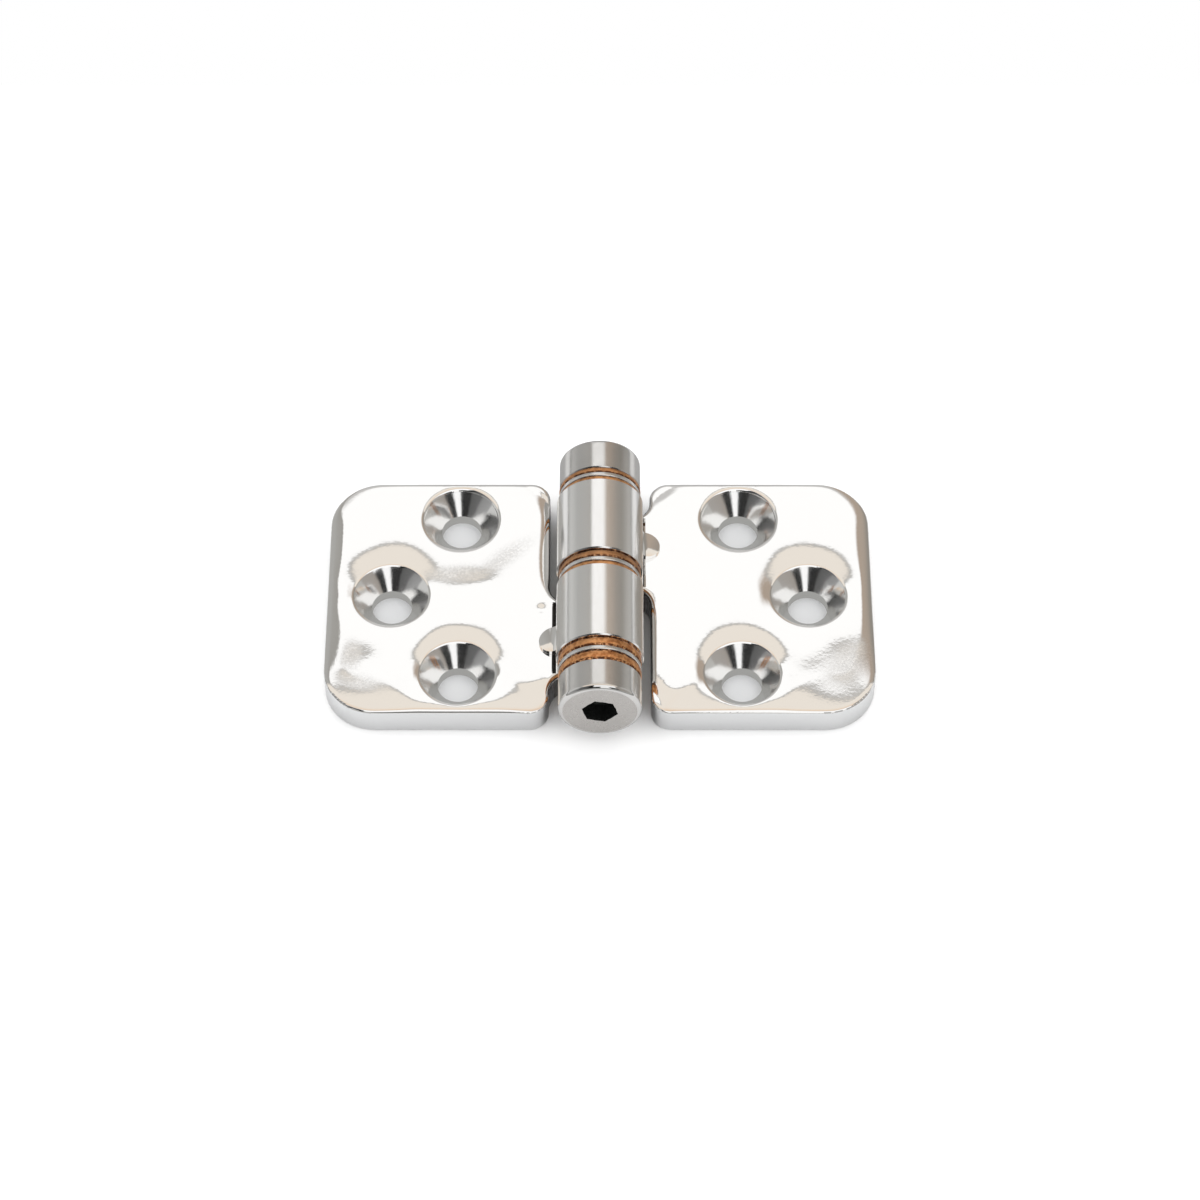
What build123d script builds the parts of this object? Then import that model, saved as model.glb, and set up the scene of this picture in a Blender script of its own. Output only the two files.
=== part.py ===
"""Friction hinge: two stamped stainless leaves whose rolled knuckles share one pivot.

The pivot is a sleeve nut and a tension screw. Copper washers with a steel washer between
them rub on the ends of both knuckles, and the screw sets how hard they are squeezed.

X runs across the hinge, from the left leaf to the right one. Y runs along the pivot, from
the tension screw to the sleeve nut. The mounting plane is Z = 0 and the origin lies under
the middle of the pivot. All lengths are in millimetres and all angles in degrees.
"""

from build123d import *
from math import asin, degrees
import os

# Leaf: a sheet pressed into a shallow pan, with its edges turned down to the mounting plane
HINGE_WIDTH = 74.4
LEAF_LENGTH = 38.5
LEAF_HEIGHT = 4.6
SHEET = 2.2
FLANGE = 2.0
INNER_EDGE = 6.9
OUTER_CORNER = 7.0
INNER_CORNER = 2.7
INNER_STRAIGHT = 0.3
EDGE_ROUND = 0.6
FOOT_BREAK = 0.2

# Rolled knuckle, and the strap of sheet that runs under the pivot into it
STRAP_DROP = 0.4
KNUCKLE_DIAMETER = 11.8
KNUCKLE_LENGTH = 11.8
KNUCKLE_EDGE_BREAK = 0.15
STRAP_FLARE = 3.0
GROOVE_EDGE = 6.3
GROOVE_RUN = 0.4
ROLL_END_GAP = 0.15
SWING_CLEARANCE = 0.4

# Half-round lock tab that ties the free end of the roll to the leaf
TAB_RADIUS = 2.0
TAB_CENTRE = 6.25
TAB_OFFSET = 0.8
TAB_TIP_LIP = 0.3
TAB_HEEL_LIP = 0.85
TAB_RISE = 2.4
TAB_CREST = 0.55
TAB_BEND = 1.4

# Countersunk screw holes, pressed down as dimples that reach the mounting plane
SCREW_HOLE_DIAMETER = 5.5
RIM_DIAMETER = 10.1
RIM_DROP = 0.25
CONE_DEPTH = 2.75
DRAW_IN_WIDTH = 2.4
INNER_HOLE_X = 19.2
OUTER_HOLE_X = 28.5
HOLE_PITCH = 25.8
DIMPLE_FOOT_DIAMETER = 9.0
DIMPLE_ROOT_DIAMETER = 12.0

# Heads of the pivot, and the hexagon socket in each
SCREW_HEAD_DIAMETER = 11.2
SCREW_HEAD_LENGTH = 4.7
NUT_HEAD_DIAMETER = 10.8
NUT_HEAD_LENGTH = 4.8
HEAD_FACE_BREAK = 0.5
HEAD_BACK_BREAK = 0.12
HEX_ACROSS_FLATS = 4.3
HEX_TURN = 14.0
SOCKET_DEPTH = 2.6
SOCKET_TIP_DIAMETER = 1.1
SOCKET_TIP_DEPTH = 0.7
SOCKET_LEAD_IN = 0.12

# Sleeve of the nut and shank of the screw
RUNNING_CLEARANCE = 0.05
THREAD_DIAMETER = 5.0
THREAD_CLEARANCE = 0.05
SHANK_LENGTH = 16.0
TAPPED_DEPTH = 18.0
TAKE_UP = 0.65
END_CHAMFER = 0.35

# Washers, in the order in which they lie along the pivot
COPPER_DIAMETER = 11.35
STEEL_DIAMETER = 11.2
SCREW_END_WASHERS = {"copper_washer_1": 1.6, "steel_washer_1": 0.65, "copper_washer_2": 1.45}
MIDDLE_WASHERS = {"copper_washer_3": 0.75, "steel_washer_2": 0.65, "copper_washer_4": 1.15}
NUT_END_WASHERS = {"copper_washer_5": 0.7, "steel_washer_3": 0.65, "copper_washer_6": 0.85}

# Worked out across the pivot
knuckle_radius = KNUCKLE_DIAMETER / 2
bore_radius = knuckle_radius - SHEET
sleeve_radius = bore_radius - RUNNING_CLEARANCE
strap_top = LEAF_HEIGHT - STRAP_DROP
strap_bottom = strap_top - SHEET
pivot_height = strap_bottom + knuckle_radius
pan_ceiling = LEAF_HEIGHT - SHEET
outer_edge = HINGE_WIDTH / 2

# Worked out along the pivot
screw_end_washer_stack = sum(SCREW_END_WASHERS.values())
middle_washer_stack = sum(MIDDLE_WASHERS.values())
nut_end_washer_stack = sum(NUT_END_WASHERS.values())
washer_stacks = screw_end_washer_stack + middle_washer_stack + nut_end_washer_stack
clamped_length = washer_stacks + 2 * KNUCKLE_LENGTH
screw_face = -(SCREW_HEAD_LENGTH + clamped_length + NUT_HEAD_LENGTH) / 2
screw_end_washers_start = screw_face + SCREW_HEAD_LENGTH
left_knuckle_start = screw_end_washers_start + screw_end_washer_stack
middle_washers_start = left_knuckle_start + KNUCKLE_LENGTH
right_knuckle_start = middle_washers_start + middle_washer_stack
nut_end_washers_start = right_knuckle_start + KNUCKLE_LENGTH
nut_head_start = nut_end_washers_start + nut_end_washer_stack
nut_face = nut_head_start + NUT_HEAD_LENGTH
leaf_middle = (left_knuckle_start + nut_end_washers_start) / 2
strap_middle = right_knuckle_start + KNUCKLE_LENGTH / 2
pivot_axis = Axis((0, 0, pivot_height), (0, 1, 0))


def facing_nut(y):
    """Plane square to the pivot at y, centred on it and facing the nut's end."""
    return Plane(origin=(0, y, pivot_height), x_dir=(1, 0, 0), z_dir=(0, 1, 0))


def facing_screw(y):
    """Plane square to the pivot at y, centred on it and facing the screw's end."""
    return Plane(origin=(0, y, pivot_height), x_dir=(1, 0, 0), z_dir=(0, -1, 0))


def side_view(y):
    """Plane square to the pivot at y, with its X and Y along the hinge's X and Z."""
    return Plane(origin=(0, y, 0), x_dir=(1, 0, 0), z_dir=(0, -1, 0))


# Screw seat: what is cut away for one screw, with the soft shoulder around its rim
with BuildPart() as screw_seat:
    hole_radius = SCREW_HOLE_DIAMETER / 2
    rim_radius = RIM_DIAMETER / 2
    rim_height = LEAF_HEIGHT - RIM_DROP
    land_height = rim_height - CONE_DEPTH
    shoulder_radius = rim_radius + DRAW_IN_WIDTH
    with BuildSketch(Plane.XZ):
        with BuildLine():
            Polyline(
                (0, LEAF_HEIGHT),
                (shoulder_radius, LEAF_HEIGHT),
                (rim_radius, rim_height),
                (hole_radius, land_height),
                (hole_radius, 0),
                (0, 0),
                close=True,
            )
        make_face()
    revolve(axis=Axis.Z)

# Lock tab: it bends from the knuckle, slopes down to the leaf and is half round in plan
with BuildPart() as lock_tab:
    tab_middle = strap_middle + TAB_OFFSET
    tab_reach = TAB_CENTRE + TAB_RADIUS
    tab_root = knuckle_radius - SHEET / 2
    with BuildSketch(side_view(tab_middle)):
        with BuildLine():
            FilletPolyline(
                (tab_root, strap_top),
                (tab_reach, strap_top),
                (tab_reach, LEAF_HEIGHT + TAB_TIP_LIP),
                (knuckle_radius, LEAF_HEIGHT + TAB_HEEL_LIP),
                (tab_root + TAB_CREST, LEAF_HEIGHT + TAB_RISE),
                (tab_root, LEAF_HEIGHT + TAB_RISE),
                radius=(0, 0, 0, TAB_BEND, 0, 0),
                close=True,
            )
        make_face()
    extrude(amount=TAB_RADIUS, both=True)
    with BuildSketch(Plane.XY):
        with Locations((TAB_CENTRE, tab_middle)):
            Circle(TAB_RADIUS)
            Rectangle(TAB_CENTRE - tab_root, 2 * TAB_RADIUS, align=(Align.MAX, Align.CENTER))
    extrude(amount=pivot_height, mode=Mode.INTERSECT)

# Leaf whose knuckle lies towards the nut
with BuildPart() as leaf:
    near_edge = leaf_middle - LEAF_LENGTH / 2
    far_edge = leaf_middle + LEAF_LENGTH / 2
    strap_near = right_knuckle_start
    strap_far = right_knuckle_start + KNUCKLE_LENGTH
    flare_room = far_edge - strap_far
    strap_flare = min(STRAP_FLARE, flare_room / 2)
    inner_corner = min(INNER_CORNER, flare_room - strap_flare - INNER_STRAIGHT)

    # Pan with the strap flaring out of its inner edge
    with BuildSketch(Plane.XY):
        with BuildLine():
            FilletPolyline(
                (outer_edge, near_edge),
                (outer_edge, far_edge),
                (INNER_EDGE, far_edge),
                (INNER_EDGE, strap_far),
                (0, strap_far),
                (0, strap_near),
                (INNER_EDGE, strap_near),
                (INNER_EDGE, near_edge),
                radius=(
                    OUTER_CORNER,
                    OUTER_CORNER,
                    inner_corner,
                    strap_flare,
                    0,
                    0,
                    strap_flare,
                    inner_corner,
                ),
                close=True,
            )
        make_face()
    extrude(amount=LEAF_HEIGHT)
    brim = leaf.faces().sort_by(Axis.Z)[-1].edges().sort_by(Axis.X)[1:]
    fillet(brim, EDGE_ROUND)
    foot = leaf.faces().sort_by(Axis.Z)[0].edges().sort_by(Axis.X)[1:]
    chamfer(foot, FOOT_BREAK)

    # Hollow under the sheet, inside the turned-down edges
    with BuildSketch(Plane.XY):
        with BuildLine():
            FilletPolyline(
                (outer_edge - FLANGE, near_edge + FLANGE),
                (outer_edge - FLANGE, far_edge - FLANGE),
                (INNER_EDGE + FLANGE, far_edge - FLANGE),
                (INNER_EDGE + FLANGE, near_edge + FLANGE),
                radius=(
                    OUTER_CORNER - FLANGE,
                    OUTER_CORNER - FLANGE,
                    max(inner_corner - FLANGE, 0),
                    max(inner_corner - FLANGE, 0),
                ),
                close=True,
            )
        make_face()
    extrude(amount=pan_ceiling, mode=Mode.SUBTRACT)

    # Room for the strap's underside and for the roll above the strap
    with BuildSketch(side_view(strap_far)):
        Rectangle(INNER_EDGE + 2 * FLANGE, strap_bottom, align=Align.MIN)
        with BuildLine():
            Polyline(
                (0, strap_top),
                (GROOVE_EDGE - GROOVE_RUN, strap_top),
                (GROOVE_EDGE, LEAF_HEIGHT),
                (0, LEAF_HEIGHT),
                close=True,
            )
        make_face()
    extrude(amount=KNUCKLE_LENGTH, mode=Mode.SUBTRACT)

    # Strap and knuckle, as one run of sheet
    roll_end = degrees(asin((bore_radius - ROLL_END_GAP) / knuckle_radius))
    roll_turn = 270 + roll_end
    strap_root = INNER_EDGE + FLANGE
    with BuildSketch(side_view(strap_far)):
        with BuildLine():
            outer_roll = CenterArc((0, pivot_height), knuckle_radius, -90, -roll_turn)
            inner_roll = CenterArc((0, pivot_height), bore_radius, -90, -roll_turn)
            Line(outer_roll @ 1, inner_roll @ 1)
            Polyline(
                inner_roll @ 0,
                (strap_root, strap_top),
                (strap_root, strap_bottom),
                outer_roll @ 0,
            )
        make_face()
    extrude(amount=KNUCKLE_LENGTH)
    with BuildSketch(Plane.YZ):
        for end, inward in ((strap_near, KNUCKLE_EDGE_BREAK), (strap_far, -KNUCKLE_EDGE_BREAK)):
            with BuildLine():
                Polyline(
                    (end, strap_bottom),
                    (end + inward, strap_bottom),
                    (end, strap_bottom + KNUCKLE_EDGE_BREAK),
                    close=True,
                )
            make_face()
    revolve(axis=pivot_axis, revolution_arc=roll_turn, mode=Mode.SUBTRACT)

    # Room for the other knuckle and the washers to turn past the flares
    for flare_plane in (facing_screw(strap_near), facing_nut(strap_far)):
        with BuildSketch(flare_plane):
            Circle(knuckle_radius + SWING_CLEARANCE)
        extrude(amount=LEAF_LENGTH, mode=Mode.SUBTRACT)

    add(lock_tab.part)

    # Screw holes in their dimples
    for hole_x, hole_y in (
        (INNER_HOLE_X, leaf_middle - HOLE_PITCH / 2),
        (INNER_HOLE_X, leaf_middle + HOLE_PITCH / 2),
        (OUTER_HOLE_X, leaf_middle),
    ):
        with Locations((hole_x, hole_y)):
            Cone(
                DIMPLE_FOOT_DIAMETER / 2,
                DIMPLE_ROOT_DIAMETER / 2,
                pan_ceiling,
                align=(Align.CENTER, Align.CENTER, Align.MIN),
            )
            add(screw_seat.part, mode=Mode.SUBTRACT)

with BuildPart() as right_leaf:
    add(leaf.part)
right_leaf.part.label = "right_leaf"

# The left leaf is the same pressing turned half round
with BuildPart() as left_leaf:
    with Locations(Location((0, 2 * leaf_middle, 0), (0, 0, 180))):
        add(leaf.part)
left_leaf.part.label = "left_leaf"

# Hexagon socket: what is cut out of a head
with BuildPart() as socket:
    with BuildSketch(Plane.XY):
        RegularPolygon(HEX_ACROSS_FLATS / 2, 6, major_radius=False, rotation=HEX_TURN)
    extrude(amount=SOCKET_DEPTH)
    with Locations((0, 0, SOCKET_DEPTH)):
        Cone(
            HEX_ACROSS_FLATS / 2,
            SOCKET_TIP_DIAMETER / 2,
            SOCKET_TIP_DEPTH,
            align=(Align.CENTER, Align.CENTER, Align.MIN),
        )
    with BuildSketch(Plane.XY):
        Circle(HEX_ACROSS_FLATS / 2 + SOCKET_LEAD_IN)
    extrude(amount=SOCKET_LEAD_IN, taper=45)

# Tension screw: its head closes the pivot at the screw's end
with BuildPart() as tension_screw:
    with BuildSketch(facing_nut(screw_face)):
        Circle(SCREW_HEAD_DIAMETER / 2)
    extrude(amount=SCREW_HEAD_LENGTH)
    chamfer(tension_screw.edges().group_by(Axis.Y)[0], HEAD_FACE_BREAK)
    chamfer(tension_screw.edges().group_by(Axis.Y)[-1], HEAD_BACK_BREAK)
    with BuildSketch(facing_nut(screw_end_washers_start)):
        Circle(THREAD_DIAMETER / 2 - THREAD_CLEARANCE)
    extrude(amount=SHANK_LENGTH)
    chamfer(tension_screw.edges().group_by(Axis.Y)[-1], END_CHAMFER)
    with Locations(facing_nut(screw_face)):
        add(socket.part, mode=Mode.SUBTRACT)
tension_screw.part.label = "tension_screw"

# Sleeve nut: its head closes the pivot at the other end and its sleeve is the pin
with BuildPart() as sleeve_nut:
    sleeve_length = clamped_length - TAKE_UP
    with BuildSketch(facing_screw(nut_face)):
        Circle(NUT_HEAD_DIAMETER / 2)
    extrude(amount=NUT_HEAD_LENGTH)
    chamfer(sleeve_nut.edges().group_by(Axis.Y)[-1], HEAD_FACE_BREAK)
    chamfer(sleeve_nut.edges().group_by(Axis.Y)[0], HEAD_BACK_BREAK)
    with BuildSketch(facing_screw(nut_head_start)):
        Circle(sleeve_radius)
    extrude(amount=sleeve_length)
    chamfer(sleeve_nut.edges().group_by(Axis.Y)[0], END_CHAMFER)
    with BuildSketch(facing_nut(nut_head_start - sleeve_length)):
        Circle(THREAD_DIAMETER / 2)
    extrude(amount=TAPPED_DEPTH, mode=Mode.SUBTRACT)
    with Locations(facing_screw(nut_face)):
        add(socket.part, mode=Mode.SUBTRACT)
sleeve_nut.part.label = "sleeve_nut"

# Washers: each is a flat ring that rides on the sleeve
washers = []
for washer_stack, stack_start in (
    (SCREW_END_WASHERS, screw_end_washers_start),
    (MIDDLE_WASHERS, middle_washers_start),
    (NUT_END_WASHERS, nut_end_washers_start),
):
    washer_start = stack_start
    for washer_name, washer_thickness in washer_stack.items():
        washer_diameter = COPPER_DIAMETER if "copper" in washer_name else STEEL_DIAMETER
        with BuildPart() as washer:
            with BuildSketch(facing_nut(washer_start)):
                Circle(washer_diameter / 2)
                Circle(bore_radius, mode=Mode.SUBTRACT)
            extrude(amount=washer_thickness)
        washer.part.label = washer_name
        washers.append(washer)
        washer_start += washer_thickness

os.makedirs("parts", exist_ok=True)
for piece in (left_leaf, right_leaf, tension_screw, sleeve_nut, *washers):
    export_step(piece.part, f"parts/{piece.part.label}.step")
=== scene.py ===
"""Studio scene for a stainless friction hinge with copper friction washers.

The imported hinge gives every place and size. The leaves are pressed again here, with uneven
brims, soft shoulders round the screw seats and shallow hollows, the washers get crowned
faces and torn edges, and the heads of the pivot get softly rounded edges. All of it stays
inside the CAD hinge's box, and only the nut's head is wider than its solid, by 0.3 mm, as
in the photograph. Lengths are in millimetres, and are multiplied by MM where Blender or a
material takes them.
"""

from __future__ import annotations

import logging
import math
from dataclasses import dataclass, field
from enum import Enum

import bmesh
import bpy
import numpy as np
from mathutils import Matrix, Vector
from mathutils.geometry import delaunay_2d_cdt

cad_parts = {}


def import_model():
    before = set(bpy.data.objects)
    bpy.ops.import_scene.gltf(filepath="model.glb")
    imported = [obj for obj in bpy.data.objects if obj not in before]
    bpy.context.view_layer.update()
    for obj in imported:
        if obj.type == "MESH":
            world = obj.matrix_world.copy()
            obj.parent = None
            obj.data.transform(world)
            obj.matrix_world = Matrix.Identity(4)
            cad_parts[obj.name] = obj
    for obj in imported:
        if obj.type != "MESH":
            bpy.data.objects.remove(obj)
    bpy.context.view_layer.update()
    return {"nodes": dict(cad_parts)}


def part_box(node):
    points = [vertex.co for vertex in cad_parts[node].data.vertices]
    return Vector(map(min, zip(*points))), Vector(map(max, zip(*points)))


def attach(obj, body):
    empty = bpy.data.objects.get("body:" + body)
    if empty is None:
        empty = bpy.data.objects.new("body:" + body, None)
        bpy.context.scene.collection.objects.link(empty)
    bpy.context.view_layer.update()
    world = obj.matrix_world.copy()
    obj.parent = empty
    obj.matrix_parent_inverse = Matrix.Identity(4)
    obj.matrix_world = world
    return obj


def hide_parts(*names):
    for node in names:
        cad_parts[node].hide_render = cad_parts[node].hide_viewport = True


LOG = logging.getLogger("friction_hinge")
MM = 0.001
PIVOT_HEIGHT = 7.9
LEAF_MIDDLE = 0.7
LEAF_HALF_LENGTH = 19.25

Value = object  # a number, a colour or another node's output
Colour = tuple[float, float, float, float]


class Hand(Enum):
    """Which side of the pivot a leaf lies on."""

    RIGHT = "right_leaf"
    LEFT = "left_leaf"


class Metal(Enum):
    """Metal of a washer."""

    COPPER = "copper_alloy"
    STEEL = "turned_stainless"


# ---------------------------------------------------------------- node graphs


class Graph:
    """A node tree that is written as plain calls."""

    def __init__(self, tree: bpy.types.NodeTree) -> None:
        """Keeps the tree that the calls add to."""
        self.tree = tree

    def add(self, kind: str, inputs: dict | None = None, **properties: object) -> bpy.types.Node:
        """Adds a node.

        Args:
            kind: The node's type name.
            inputs: What its inputs take, by name or number.
            properties: Its properties.

        Returns:
            The new node.
        """
        node = self.tree.nodes.new(kind)
        for name, value in properties.items():
            setattr(node, name, value)
        self.feed(node, inputs or {})
        return node

    def feed(self, node: bpy.types.Node, inputs: dict) -> None:
        """Sets inputs of a node to numbers, colours or other nodes' outputs."""
        for socket, value in inputs.items():
            if isinstance(value, bpy.types.NodeSocket):
                self.tree.links.new(value, node.inputs[socket])
            else:
                node.inputs[socket].default_value = value

    def math(self, operation: str, *terms: Value, clamp: bool = False) -> bpy.types.NodeSocket:
        """Adds a Math node and returns its value."""
        return self.add("ShaderNodeMath", dict(enumerate(terms)), operation=operation, use_clamp=clamp).outputs[0]

    def times(self, product: Value, *factors: Value) -> Value:
        """Multiplies numbers."""
        for factor in factors:
            product = self.math("MULTIPLY", product, factor)
        return product

    def plus(self, total: Value, *terms: Value) -> Value:
        """Adds numbers."""
        for term in terms:
            total = self.math("ADD", total, term)
        return total

    def minus(self, first: Value, second: Value) -> bpy.types.NodeSocket:
        """Takes the second number from the first."""
        return self.math("SUBTRACT", first, second)

    def size(self, value: Value) -> bpy.types.NodeSocket:
        """A number without its sign."""
        return self.math("ABSOLUTE", value)

    def reach(self, x: Value, y: Value) -> bpy.types.NodeSocket:
        """Length of a flat vector."""
        return self.math("SQRT", self.plus(self.times(x, x), self.times(y, y)))

    def step(self, value: Value, low: float, high: float) -> bpy.types.NodeSocket:
        """Rises smoothly from 0 at low to 1 at high."""
        inputs = {"Value": value, "From Min": low, "From Max": high}
        return self.add("ShaderNodeMapRange", inputs, interpolation_type="SMOOTHSTEP").outputs[0]

    def blend(self, share: Value, first: Value, second: Value) -> bpy.types.NodeSocket:
        """Mixes two colours."""
        return self.add("ShaderNodeMix", {0: share, 6: first, 7: second}, data_type="RGBA").outputs[2]

    def mix(self, share: Value, first: Value, second: Value) -> bpy.types.NodeSocket:
        """Mixes two numbers."""
        return self.add("ShaderNodeMix", {0: share, 2: first, 3: second}, data_type="FLOAT").outputs[0]

    def either(self, share: Value, first: bpy.types.Node, second: bpy.types.Node) -> bpy.types.Node:
        """Mixes two shaders."""
        return self.add("ShaderNodeMixShader", {0: share, 1: first.outputs[0], 2: second.outputs[0]})

    def noise(self, vector: Value, scale: float, detail: float = 2.0, rough: float = 0.5) -> bpy.types.NodeSocket:
        """Adds a noise texture and returns its value."""
        inputs = {"Vector": vector, "Scale": scale, "Detail": detail, "Roughness": rough}
        return self.add("ShaderNodeTexNoise", inputs).outputs[0]

    def vector(self, x: Value, y: Value, z: Value) -> bpy.types.NodeSocket:
        """Joins three numbers into a vector."""
        return self.add("ShaderNodeCombineXYZ", {0: x, 1: y, 2: z}).outputs[0]

    def split(self, vector: Value) -> bpy.types.bpy_prop_collection:
        """Parts a vector into its three numbers."""
        return self.add("ShaderNodeSeparateXYZ", {0: vector}).outputs

    def place(self, space: str = "Object") -> bpy.types.NodeSocket:
        """Gives the place of each shaded point."""
        return self.add("ShaderNodeTexCoord").outputs[space]

    def mirrored(self) -> bpy.types.NodeSocket:
        """Tells the rays that a mirror or a lens sends out, with 1, from all others."""
        path = self.add("ShaderNodeLightPath").outputs
        return self.math("MAXIMUM", path["Is Glossy Ray"], path["Is Transmission Ray"])

    def ramp(self, degrees: Value, low: float, stops: tuple) -> bpy.types.NodeSocket:
        """Reads a colour off a half circle of colour stops.

        Args:
            degrees: The angle to read at.
            low: The angle at which the half circle starts.
            stops: Angles, each with a grey or a colour.

        Returns:
            The colour.
        """
        share = self.math("DIVIDE", self.minus(degrees, low), 180.0, clamp=True)
        node = self.add("ShaderNodeValToRGB", {0: share})
        elements = node.color_ramp.elements
        while len(elements) > 1:
            elements.remove(elements[0])
        for index, (angle, colour) in enumerate(stops):
            at = (angle - low) / 180.0
            element = elements[0] if index == 0 else elements.new(at)
            element.position = at
            element.color = (*(colour if isinstance(colour, tuple) else (colour,) * 3), 1.0)
        return node.outputs[0]

    def dress(
        self, shader: bpy.types.Node, colour: Value, roughness: Value, height: Value = None, strength: float = 1.0
    ) -> None:
        """Finishes a metal.

        Args:
            shader: The material's shader node.
            colour: Its colour.
            roughness: Its roughness.
            height: Its fine relief, in metres.
            strength: How much of the relief shows.
        """
        self.feed(shader, {"Base Color": colour, "Metallic": 1.0, "Roughness": roughness})
        if height is not None:
            bump = self.add("ShaderNodeBump", {"Strength": strength, "Distance": 1.0, "Height": height})
            self.feed(shader, {"Normal": bump.outputs[0]})


def new_material(name: str) -> tuple[bpy.types.Material, Graph, bpy.types.Node]:
    """Starts a material.

    Args:
        name: The material's name.

    Returns:
        The material, its graph and its shader node.
    """
    material = bpy.data.materials.new(name)
    material.use_nodes = True
    return material, Graph(material.node_tree), material.node_tree.nodes["Principled BSDF"]


def dimmed(colour: Colour, share: float) -> Colour:
    """A darker shade of a colour."""
    return tuple(share * value for value in colour[:3]) + (1.0,)


# ---------------------------------------------------------------- finishes


@dataclass(frozen=True)
class DullPatch:
    """A soft patch where the polish is dull and its colour is darkened by a painted grey, long along one direction."""

    x: float
    y: float
    along: float
    across: float
    turn_deg: float
    most: float

    def share(self, g: Graph, x: Value, y: Value) -> bpy.types.NodeSocket:
        """How dull the polish is at each place."""
        turn = math.radians(self.turn_deg)
        dx, dy = g.minus(x, self.x * MM), g.minus(y, self.y * MM)
        long, wide = self.along * MM, self.across * MM
        u = g.plus(g.times(dx, math.cos(turn) / long), g.times(dy, math.sin(turn) / long))
        v = g.plus(g.times(dx, -math.sin(turn) / wide), g.times(dy, math.cos(turn) / wide))
        return g.times(g.step(g.reach(u, v), 1.1, 0.1), self.most)


@dataclass(frozen=True)
class PolishedStainless:
    """Mirror polish on top, finely ground turned-down edges, satin knuckle."""

    colour: Colour = (0.93, 0.92, 0.905, 1.0)
    ground_colour: Colour = (0.92, 0.925, 0.93, 1.0)
    knuckle_colour: Colour = (0.9, 0.89, 0.875, 1.0)
    polished: tuple[float, float] = (0.035, 0.08)
    duller_by: float = 0.13
    ground: tuple[float, float] = (0.26, 0.42)
    satin: tuple[float, float] = (0.13, 0.24)
    peel_depth: float = 0.0036 * MM
    drag_depth: float = 0.007 * MM
    grain_depth: float = 0.0012 * MM
    wall_top: float = 4.06 * MM
    line_wander: float = 0.3 * MM
    inner_wall: float = 6.2 * MM
    knuckle_reach: float = 6.05 * MM
    tabs: tuple = ((7.0 * MM, 8.7 * MM), (-7.0 * MM, -7.3 * MM))
    tab_reach: float = 2.6 * MM
    tab_heights: tuple[float, float] = (4.65 * MM, 5.9 * MM)
    tab_dome: float = -55.0
    patches: tuple[DullPatch, ...] = (
        DullPatch(33.6, -10.8, 5.6, 3.4, 52.0, 1.0),
        DullPatch(-19.6, 4.4, 6.0, 1.9, 4.0, 0.9),
        DullPatch(-13.0, 7.2, 6.4, 2.0, 40.0, 0.85),
        DullPatch(-33.6, -9.6, 3.6, 1.8, 90.0, 1.0),
        DullPatch(-32.2, -13.6, 5.0, 1.8, -20.0, 0.8),
    )

    def material(self) -> bpy.types.Material:
        """Makes the material."""
        material, g, shader = new_material("polished_stainless")
        place = g.place()
        x, y, z = g.split(place)

        # Ground wall, with an uneven line where the polish meets it
        facing = g.split(g.add("ShaderNodeNewGeometry").outputs["Normal"])[2]
        upright = g.step(g.size(facing), 0.45, 0.3)
        ragged = g.minus(g.noise(place, 2600.0, 3.0, 0.6), 0.5)
        line = g.plus(self.wall_top, g.times(ragged, self.line_wander))
        outside = g.math("GREATER_THAN", g.size(x), self.inner_wall)
        wall = g.times(g.math("LESS_THAN", z, line), upright, outside)

        # Knuckle, and dull patches of the polish: rougher, and darker in colour by a painted reflection
        from_pivot = g.reach(x, g.minus(z, PIVOT_HEIGHT * MM))
        knuckle = g.step(from_pivot, self.knuckle_reach + 0.05 * MM, self.knuckle_reach)
        dull: Value = 0.0
        for patch in self.patches:
            dull = g.math("MAXIMUM", dull, patch.share(g, x, y))
        dull_and_painted_grey = g.times(dull, g.step(g.noise(place, 3200.0, 3.0, 0.7), 0.3, 0.62))

        # Painted reflection: the dull patches' darker colour stands in for the grey that the polish mirrors there
        colour = g.blend(dull_and_painted_grey, self.colour, dimmed(self.colour, 0.8))
        colour = g.blend(knuckle, g.blend(wall, colour, self.ground_colour), self.knuckle_colour)
        polish = g.plus(g.mix(g.noise(place, 260.0, 3.0, 0.6), *self.polished), g.times(dull, self.duller_by))
        ground = g.mix(g.noise(place, 900.0, 4.0, 0.7), *self.ground)
        scuff = g.mix(g.noise(g.vector(x, g.times(y, 0.15), z), 3000.0, 3.0, 0.7), *self.satin)
        rough = g.mix(knuckle, g.mix(wall, polish, ground), scuff)

        # Orange peel of the polish, drag lines of the grinding, grain of the knuckle
        peel = g.times(g.noise(place, 2300.0, 2.0, 0.5), self.peel_depth)
        drag_way = g.vector(g.times(x, 0.12), g.times(y, 0.12), z)
        drag = g.times(g.noise(drag_way, 9000.0, 3.0, 0.6), self.drag_depth)
        grain = g.times(g.noise(g.vector(x, g.times(y, 0.5), z), 6000.0, 2.0, 0.6), self.grain_depth)
        height = g.mix(knuckle, g.mix(wall, peel, drag), grain)

        # Slightly domed lock tabs
        for tab_x, tab_y in self.tabs:
            dx, dy = g.minus(x, tab_x), g.minus(y, tab_y)
            apart = g.plus(g.times(dx, dx), g.times(dy, dy))
            on_tab = g.times(
                g.math("LESS_THAN", apart, self.tab_reach**2),
                g.math("GREATER_THAN", z, self.tab_heights[0]),
                g.math("LESS_THAN", z, self.tab_heights[1]),
            )
            height = g.plus(height, g.times(on_tab, g.times(apart, self.tab_dome)))
        g.dress(shader, colour, rough, height)
        return material


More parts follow.
